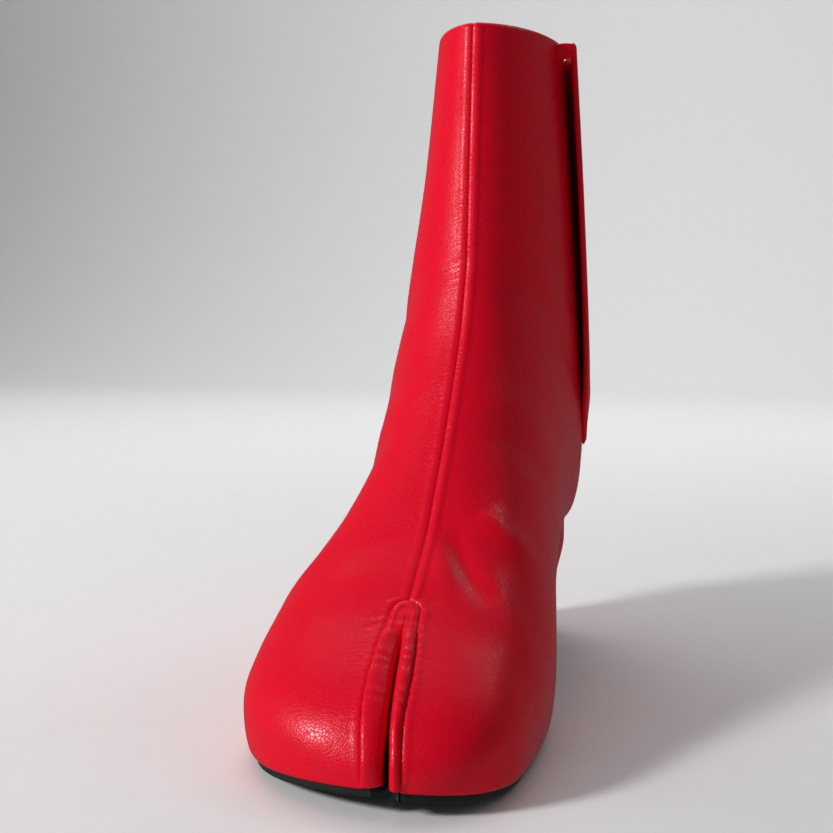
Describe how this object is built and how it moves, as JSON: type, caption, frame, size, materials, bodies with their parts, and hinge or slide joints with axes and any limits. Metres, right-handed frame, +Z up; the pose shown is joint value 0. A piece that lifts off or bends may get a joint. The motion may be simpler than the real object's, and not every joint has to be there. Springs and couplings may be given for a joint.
{
  "type": "split-toe ankle boot",
  "caption": "Red leather split-toe ankle boot with a front seam, a medial closing flap, a thin sole and a round block heel.",
  "frame": {"origin": "on the floor under the middle of the boot's box", "axes": "+Z up, toe towards -Y, medial side towards +X"},
  "size_m": [0.097, 0.2396, 0.2516],
  "materials": {
    "red_leather": "semi-gloss, fine grain",
    "black_sole_leather": "satin",
    "pale_lining": "matte",
    "black_rubber": "matte"
  },
  "bodies": {
    "root": {"upper": "red_leather", "outsole": "black_sole_leather", "insole": "pale_lining", "heel_block": "red_leather", "heel_top_piece": "black_rubber", "closure_flap": "red_leather"}
  },
  "joints": []
}
